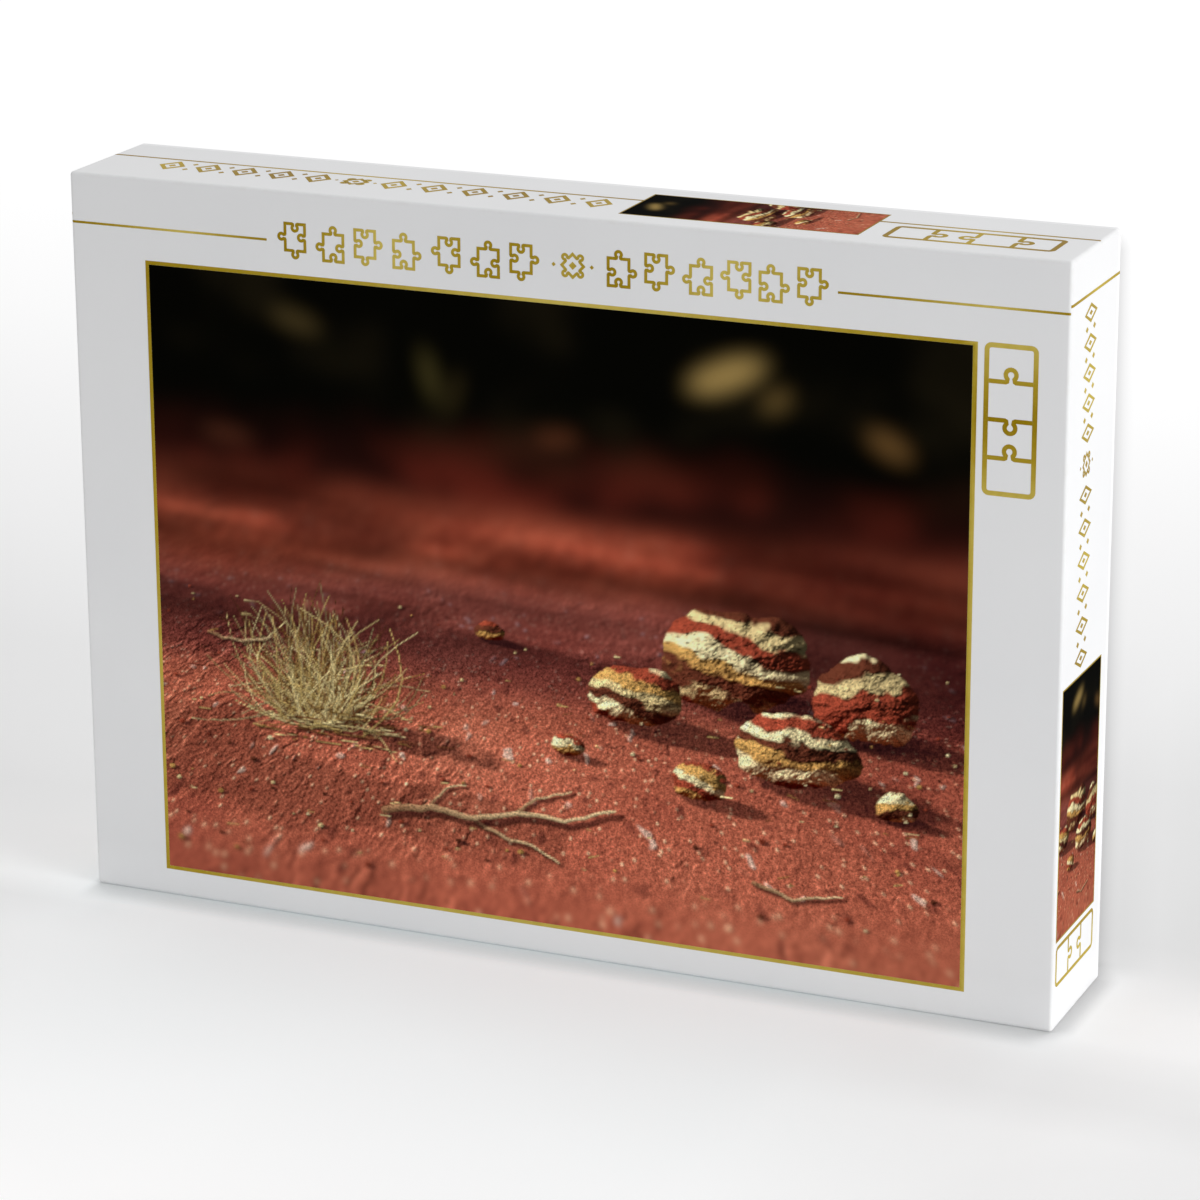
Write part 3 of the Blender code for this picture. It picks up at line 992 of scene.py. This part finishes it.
def picture_ink():
    """The printed pictures: the painted colours, a fine sand grain over the ground, and a satin surface."""
    n = Nodes("picture_ink")
    paint = n.attribute("paint").outputs["Vector"]
    grain = n.attribute("grain").outputs["Fac"]
    sand = n.noise(1250.0, 2.0, 0.75)
    dots = n.noise(2600.0, 1.0, 0.5)
    lift = n.math("ADD", n.span(sand, 0.25, 0.75, -0.62, 0.62), n.span(dots, 0.2, 0.8, -0.25, 0.25))
    gain = n.math("ADD", n.math("MULTIPLY", lift, grain), 1.0)
    coloured = n.add("ShaderNodeVectorMath", operation="SCALE")
    n.feed(coloured.inputs[0], paint)
    n.feed(coloured.inputs["Scale"], gain)
    cloud = n.noise(12.0, 2.0)
    normal = n.bump(n.noise(6.0, 2.0), 0.0009, 0.6)
    material = n.surface(coloured.outputs["Vector"], n.span(cloud, 0.3, 0.7, 0.42, 0.50), normal)
    n.shader.inputs["Specular IOR Level"].default_value = 0.001
    return material


def floor_paint():
    """Pale floor: lit from below its surface more or less from place to place, with a soft shade at the box."""
    n = Nodes("studio_floor")
    split = n.add("ShaderNodeSeparateXYZ")
    n.feed(split.inputs[0], n.place)
    x, y = split.outputs["X"], n.math("SUBTRACT", split.outputs["Y"], 0.0015)

    def along(cx, cy, offset=0.0):
        return n.math("MULTIPLY_ADD", x, cx, n.math("MULTIPLY_ADD", y, cy, offset))

    # how much light each place adds: ramps over straight bands of the floor
    glow = FLOOR_GLOW[0]
    for cx, cy, low, high, amount in FLOOR_GLOW[1:]:
        glow = n.math("ADD", n.span(along(cx, cy), low, high, 0.0, amount), glow)
    for (ax, ay, low_a, high_a), (bx, by, low_b, high_b), amount in FLOOR_CORNERS:
        both = n.math("MULTIPLY", n.span(along(ax, ay), low_a, high_a), n.span(along(bx, by), low_b, high_b))
        glow = n.math("MULTIPLY_ADD", both, amount, glow)
    glow = n.math("MAXIMUM", glow, 0.0)

    # the soft shade that starts at the rear right corner and runs away from the viewer's side
    s = along(-0.28314, 0.95908, 1.49904)
    t = n.math("DIVIDE", along(0.95908, 0.28314, -0.18437), s)
    fall = n.span(t, -0.0002, 0.0046, 1.0, 0.0)
    shade = n.math("MULTIPLY", n.math("MULTIPLY", fall, fall), n.span(t, -0.05, -0.012))
    shade = n.math("MULTIPLY", shade, n.math("MULTIPLY", n.span(s, 1.470, 1.482), n.span(s, 2.605, 2.665, 1.0, 0.0)))
    # the contact shade: wide before the picture, narrow at the right foot and faint at the left one
    before, beside = (n.add("ShaderNodeAmbientOcclusion", samples=8) for _ in range(2))
    before.inputs["Distance"].default_value = 0.017
    beside.inputs["Distance"].default_value = 0.009
    change = n.math("SUBTRACT", beside.outputs["AO"], before.outputs["AO"])
    contact = n.math("MULTIPLY_ADD", n.span(x, 0.180, 0.190), change, before.outputs["AO"])
    contact = n.math("MAXIMUM", contact, 0.66)
    faint = n.math("MULTIPLY", n.span(x, -0.184, -0.188, 0.0, 0.80), n.math("SUBTRACT", 1.0, contact))
    contact = n.math("ADD", contact, faint)
    # and the wider shade beside the rear right corner's foot
    wide = n.math("MULTIPLY", n.span(t, 0.0140, 0.0055), n.span(t, -0.0020, 0.0005))
    wide = n.math("MULTIPLY", wide, n.math("MULTIPLY", n.span(s, 1.470, 1.482), n.span(s, 1.86, 1.53)))
    contact = n.math("MULTIPLY", contact, n.math("MULTIPLY_ADD", wide, -0.065, 1.0))
    keep = n.math("MULTIPLY", n.math("MULTIPLY_ADD", shade, -0.25, 1.0), contact)
    material = n.surface(n.blend(keep, (0.0, 0.0, 0.0), (FLOOR_ALBEDO, FLOOR_ALBEDO, FLOOR_ALBEDO * 1.003)), 0.85)
    # the picture throws warm light on the floor before it; the glow there is that much cooler
    cool = n.math("MULTIPLY", n.span(along(0.0, 1.0), -0.26, -0.05), n.span(along(0.0, 1.0), 0.02, -0.03))
    cool = n.math("MULTIPLY", cool, n.math("MULTIPLY", n.span(x, -0.26, -0.12), n.span(x, 0.21, 0.10)))
    n.feed(n.shader.inputs["Emission Color"], n.blend(cool, (1.0, 1.0, 1.0), (0.86, 1.0, 1.035)))
    n.feed(n.shader.inputs["Emission Strength"], n.math("MULTIPLY", glow, keep))
    n.shader.inputs["Specular IOR Level"].default_value = 0.0
    return material


FLOOR_ALBEDO = 0.80
FLOOR_GLOW = (0.117,      # everywhere; then (x, y, low, high, amount) for each band
              (0.0, 1.0, 0.06, 0.22, -0.024),
              (0.0, 1.0, 0.22, 0.45, 0.078),
              (0.0, 1.0, 0.45, 0.75, 0.103),
              (0.0, 1.0, 0.75, 1.15, 0.087),
              (0.0, -1.0, -0.06, 0.03, 0.109),
              (0.0, -1.0, 0.09, 0.15, 0.026),
              (0.0, -1.0, 0.15, 0.30, 0.098),
              (0.0, -1.0, 0.32, 0.55, -0.400),
              (1.0, 0.0, -0.30, -0.05, 0.026),
              (1.0, 0.0, -0.05, 0.12, -0.032),
              (1.0, 0.0, 0.12, 0.20, -0.082),
              (1.0, 0.0, 0.20, 0.27, 0.000),
              (0.6, -0.8, 0.10, 0.17, -0.028),
              (0.6, -0.8, 0.17, 0.24, -0.037),
              (-0.6, -0.8, 0.10, 0.25, -0.085),
              (0.6, 0.8, -0.10, 0.05, 0.012),
              (0.6, 0.8, 0.05, 0.20, -0.002),
              (0.8, -0.6, 0.24, 0.36, -0.117))

FLOOR_CORNERS = (((0.0, -1.0, -0.060, 0.030), (1.0, 0.0, -0.240, -0.160), 0.050),
                 ((0.0, -1.0, -0.100, 0.050), (1.0, 0.0, 0.170, 0.230), 0.027),
                 ((0.0, -1.0, 0.030, 0.140), (1.0, 0.0, -0.220, -0.120), 0.006),
                 ((0.0, -1.0, 0.030, 0.060), (1.0, 0.0, 0.100, 0.170), -0.045),
                 ((0.0, -1.0, 0.080, 0.110), (1.0, 0.0, 0.100, 0.170), 0.063),
                 ((1.0, 0.0, 0.190, 0.220), (0.0, 1.0, -0.040, -0.010), 0.042),
                 ((1.0, 0.0, 0.190, 0.220), (0.0, 1.0, 0.000, 0.040), -0.065),
                 ((0.0, -1.0, 0.030, 0.050), (-1.0, 0.0, 0.140, 0.170), -0.062),
                 ((0.0, -1.0, 0.050, 0.080), (-1.0, 0.0, 0.140, 0.170), 0.054),
                 ((0.0, -1.0, 0.020, 0.050), (-1.0, 0.0, 0.175, 0.200), -0.011))

# ------------------------------------------------------------------ pictures


def picture(name, side, u0, v0, u1, v1, art, window, pitch, material, light, turned=False):
    """A printed picture: a fine grid that carries the painting, closed into a thin sheet.

    window is the part of the painting it shows, (left, low, right, high) in picture heights;
    turned lays its top towards the left.
    """
    img, sharp = art
    nu, nv = int(round((u1 - u0) / pitch)), int(round((v1 - v0) / pitch))
    us, vs = np.linspace(u0, u1, nu + 1), np.linspace(v0, v1, nv + 1)
    uu, vv = np.meshgrid(us, vs)
    high, wide = img.shape[:2]
    if turned:
        s, t = np.linspace(window[0], window[2], nv + 1)[:, None], np.linspace(window[3], window[1], nu + 1)[None, :]
        step = (window[3] - window[1]) * high / nu
    else:
        s, t = np.linspace(window[0], window[2], nu + 1)[None, :], np.linspace(window[1], window[3], nv + 1)[:, None]
        step = (window[2] - window[0]) * high / nu
    s, t = np.broadcast_arrays(s, t)
    soft = blur(img, 0.36 * step)
    px = np.clip(s * high - 0.5, 0, wide - 1.001)
    py = np.clip((1 - t) * high - 0.5, 0, high - 1.001)
    ix, iy = px.astype(int), py.astype(int)
    fx, fy = (px - ix)[..., None], (py - iy)[..., None]
    paint = ((soft[iy, ix] * (1 - fx) + soft[iy, ix + 1] * fx) * (1 - fy)
             + (soft[iy + 1, ix] * (1 - fx) + soft[iy + 1, ix + 1] * fx) * fy)
    grain = sharp[iy, ix] * min(1.0, 2.0 / step)

    top = on_side(side, uu, vv, PROUD)
    idx = np.arange((nu + 1) * (nv + 1)).reshape(nv + 1, nu + 1)
    quads = np.stack((idx[:-1, :-1], idx[:-1, 1:], idx[1:, 1:], idx[1:, :-1]), -1).reshape(-1, 4)
    rim = np.concatenate((idx[0, :], idx[1:, -1], idx[-1, -2::-1], idx[-2:0:-1, 0]))
    count = len(top)
    low = on_side(side, uu.ravel()[rim], vv.ravel()[rim], -SUNK)
    below = {int(r): count + i for i, r in enumerate(rim)}
    faces = [tuple(q) for q in quads.tolist()]
    ring = rim.tolist()
    for p, q in zip(ring, ring[1:] + ring[:1]):
        faces.append((q, p, below[p], below[q]))
    # the underside: strips from edge to edge
    left = [below[int(i)] for i in idx[:, 0]]
    right = [below[int(i)] for i in idx[:, -1]]
    floor, roof = [below[int(i)] for i in idx[0, :]], [below[int(i)] for i in idx[-1, :]]
    faces.append(tuple([floor[1]] + left + [roof[1]]))
    faces.append(tuple([roof[-2]] + right[::-1] + [floor[-2]]))
    for i in range(1, nu - 1):
        faces.append((floor[i + 1], floor[i], roof[i], roof[i + 1]))
    # painted light: each picture's colours are divided by the studio light on its side, lighter on the front and darker
    # on the brighter-lit walls
    colour = np.concatenate((paint.reshape(-1, 3), paint.reshape(-1, 3)[rim])) / light
    amount = np.concatenate((grain.ravel(), grain.ravel()[rim]))
    verts = np.vstack((top, low))
    obj = finish_mesh(name, verts, faces, material, {"grain": amount}, {"paint": np.clip(colour, 0, 1)}, angle=30.0)

    # the painted face fills the image that the picture's colours go into
    mesh = obj.data
    layer = mesh.uv_layers.new(name="OFBake")
    corner = np.zeros(len(mesh.loops), np.int32)
    mesh.loops.foreach_get("vertex_index", corner)
    flat = np.concatenate((np.stack((uu.ravel(), vv.ravel()), 1), np.stack((uu.ravel()[rim], vv.ravel()[rim]), 1)))
    st = (flat - (u0, v0)) / (u1 - u0, v1 - v0)
    uv = np.zeros((len(corner), 2))
    uv[:] = st[corner] * (0.996, 0.955) + (0.002, 0.002)
    starts = np.zeros(len(mesh.polygons), np.int32)
    totals = np.zeros(len(mesh.polygons), np.int32)
    mesh.polygons.foreach_get("loop_start", starts)
    mesh.polygons.foreach_get("loop_total", totals)
    under = np.repeat(np.arange(len(starts)), totals)
    touches = np.zeros(len(starts), bool)
    np.logical_or.at(touches, under, corner >= count)
    hidden = touches[under]
    uv[hidden] = st[corner[hidden]] * (0.996, 0.03) + (0.002, 0.965)
    layer.data.foreach_set("uv", uv.astype(np.float32).ravel())
    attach(obj, "lid")
    return obj


FRONT_LIGHT, TOP_LIGHT, SIDE_LIGHT = 0.78, 0.84, 1.12      # the studio light on each side of the lid

# ---------------------------------------------------------------- assembly

make_camera()

paper, inner, board, gold, print_ink = coated_paper(), plain_paper(), greyboard(), gold_ink(), picture_ink()

lid_deep = (LID_HI.y - LID_LO.y) - SKIN - 0.03 * MM
tray_deep = (TRAY_HI.y - TRAY_LO.y) - SKIN - 0.03 * MM
lid_wrap = open_shell("lid_wrap", LID_LO, LID_HI, LID_ROLL, 1, wrap_rows(lid_deep, LID_ROLL), paper)
lid_board = open_shell("lid_board", LID_LO, LID_HI, LID_ROLL, 1, board_rows(lid_deep, LID_ROLL), board)
tray_wrap = open_shell("tray_wrap", TRAY_LO, TRAY_HI, TRAY_ROLL, -1, wrap_rows(tray_deep, TRAY_ROLL), inner)
tray_board = open_shell("tray_board", TRAY_LO, TRAY_HI, TRAY_ROLL, -1, board_rows(tray_deep, TRAY_ROLL), board)
for piece, body in ((lid_wrap, "lid"), (lid_board, "lid"), (tray_wrap, "tray"), (tray_board, "tray")):
    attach(piece, body)
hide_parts("lid")
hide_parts("tray")


def front_tone(u, v):
    if v > 243 and u < 338.5 or v > 245:
        return float(np.interp(u, (0, 44, 78, 82, 122, 168, 193, 208, 248, 284, 290, 343, 370),
                               (0.0, 1.0, 0.1, 0.0, 1.0, 0.15, 0.65, 0.1, 1.0, 0.55, 0.0, 1.0, 0.15)))
    if u > 338.2:
        return float(np.interp(v, (187, 213, 240), (0.85, 0.0, 0.9)))
    if v > 236:
        return float(np.interp(u, (29, 110, 190, 270, 338), (0.20, 0.55, 0.95, 0.60, 0.35)))
    if v < 12.5:
        return float(np.interp(u, (29, 120, 230, 338), (0.45, 0.80, 0.85, 0.60)))
    if u < 60:
        return float(np.interp(v, (10, 90, 170, 240), (0.50, 0.75, 0.35, 0.15)))
    return float(np.interp(v, (10, 90, 170, 240), (0.60, 0.45, 0.60, 0.45)))


front = Layout("front", front_tone)
front.frame(29.4, 10.2, 338.3, 239.3, 1.35, 1.65)
front.bar(0.0, 250.55, 77.8, 251.40)
front.bar(289.4, 250.95, 370.0, 251.80)
ornament_row(front, 82.0, 181.6, 251.4, 13.1, 1.1, 7)
ornament_row(front, 206.4, 286.2, 252.3, 13.1, 1.1, 6, flip=1)
emblem(front, 193.9, 251.9, 11.0, 1.0)
ornament_strip(front, 340.6, 187.6, 359.2, 239.6, 4, 1.7)
front.build("lid_gold_front", gold)


def edge_tone(u, v):
    """Long walls: dark at both ends of each line and pale between them."""
    if 31.0 < v < 33.0:
        return float(np.interp(u, (0, 100, 206, 293, 330, 370), (0.15, 0.85, 0.25, 0.30, 0.85, 0.20)))
    return float(np.interp(u, (27, 70, 118, 160, 200, 207, 250, 292, 300, 330, 360), (0.85, 0.15, 0.8, 0.2, 0.75, 0.3, 0.7, 0.3, 0.25, 0.9, 0.2)))


def wall_tone(u, v):
    """Short walls: the same, up the wall."""
    if v > 252:
        return float(np.interp(u, (0, 28, 53), (0.2, 0.75, 0.45)))
    return float(np.interp(v, (10, 20, 29, 31, 76, 121, 127, 160, 190, 220, 248), (0.3, 0.9, 0.4, 0.3, 0.8, 0.3, 0.1, 0.8, 0.15, 0.85, 0.5)))


for side in ("top", "bottom"):
    wall = Layout(side, edge_tone)
    wall.bar(0.5, 31.45, 206.6, 32.75)
    wall.bar(292.4, 31.45, 369.3, 32.75)
    wall.frame(206.4, 10.0, 292.6, 42.9, 0.62)
    lozenge_row(wall, 23.8, 92.4, 22.6, 10.8, 13.8, 1.65, 5)
    emblem(wall, 101.7, 22.6, 11.6, 1.45)
    lozenge_row(wall, 111.0, 199.4, 22.6, 10.8, 13.8, 1.65, 6)
    ornament_strip(wall, 300.2, 10.4, 360.0, 28.2, 4, 1.9)
    wall.build("lid_gold_" + side, gold)

for side in ("right", "left"):
    wall = Layout(side, wall_tone)
    wall.bar(0.0, 253.3, 53.0, 254.3)
    lozenge_row(wall, 124.4, 188.6, 21.2, 7.2, 13.4, 1.1, 6, across=True)
    emblem(wall, 21.2, 195.6, 10.2, 0.95)
    lozenge_row(wall, 202.6, 250.8, 21.6, 7.2, 13.4, 1.1, 5, across=True)
    wall.frame(2.0, 31.9, 45.2, 122.1, 0.62)
    ornament_strip(wall, 2.4, 15.4, 44.7, 30.2, 3, 1.3)
    wall.build("lid_gold_" + side, gold)

art = paint()
pitch = 0.56
picture("lid_picture_front", "front", 30.78, 11.58, 336.62, 237.92, art, (0.0, 0.0, 1.349, 1.0), pitch, print_ink, FRONT_LIGHT)
for side, coarse in (("top", 1.0), ("bottom", 1.5)):
    picture("lid_picture_" + side, side, 206.95, 10.55, 292.05, 42.35, art, (0.80, 0.0, 1.18, 1.0), 0.30 * coarse, print_ink, TOP_LIGHT, turned=True)
for side, coarse in (("right", 1.0), ("left", 1.5)):
    picture("lid_picture_" + side, side, 2.55, 32.45, 44.65, 121.55, art, (0.776, 0.0, 1.249, 1.0), 0.30 * coarse, print_ink, SIDE_LIGHT)


SKY = (0.39, 0.23, 0.60)      # light from the horizon, what it gains towards +Y, and towards the zenith


def make_stage():
    mesh = bpy.data.meshes.new("studio_floor")
    size, cuts = 9.0, 12
    verts, faces = [], []
    for j in range(cuts + 1):
        for i in range(cuts + 1):
            verts.append((size * (2 * i / cuts - 1), size * (2 * j / cuts - 1), 0.0))
    for j in range(cuts):
        for i in range(cuts):
            a = j * (cuts + 1) + i
            faces.append((a, a + 1, a + cuts + 2, a + cuts + 1))
    mesh.from_pydata(verts, [], faces)
    mesh.materials.append(floor_paint())
    floor = bpy.data.objects.new("studio_floor", mesh)
    bpy.context.scene.collection.objects.link(floor)

    world = bpy.data.worlds.new("studio")
    world.use_nodes = True
    tree = world.node_tree
    place = tree.nodes.new("ShaderNodeTexCoord")
    split = tree.nodes.new("ShaderNodeSeparateXYZ")
    tree.links.new(place.outputs["Generated"], split.inputs[0])
    level = SKY[0]
    for axis, amount in zip("YZ", SKY[1:]):
        term = tree.nodes.new("ShaderNodeMath")
        term.operation = "MULTIPLY_ADD"
        tree.links.new(split.outputs[axis], term.inputs[0])
        term.inputs[1].default_value = amount
        if isinstance(level, float):
            term.inputs[2].default_value = level
        else:
            tree.links.new(level, term.inputs[2])
        level = term.outputs["Value"]
    back = tree.nodes["Background"]
    back.inputs["Color"].default_value = (1.0, 1.0, 1.0, 1.0)
    tree.links.new(level, back.inputs["Strength"])
    bpy.context.scene.world = world

    def soft_light(name, at, aim, size, power):
        data = bpy.data.lights.new(name, "AREA")
        data.shape = "SQUARE"
        data.size = size
        data.energy = power
        lamp = bpy.data.objects.new(name, data)
        lamp.location = at
        lamp.rotation_euler = (Vector(aim) - Vector(at)).to_track_quat("-Z", "Y").to_euler()
        bpy.context.scene.collection.objects.link(lamp)

    soft_light("key_from_right", (3.30, -0.85, 0.80), (0.0, 0.0, 0.13), 1.6, 53.0)
    bpy.context.scene.view_settings.view_transform = "Standard"


make_stage()
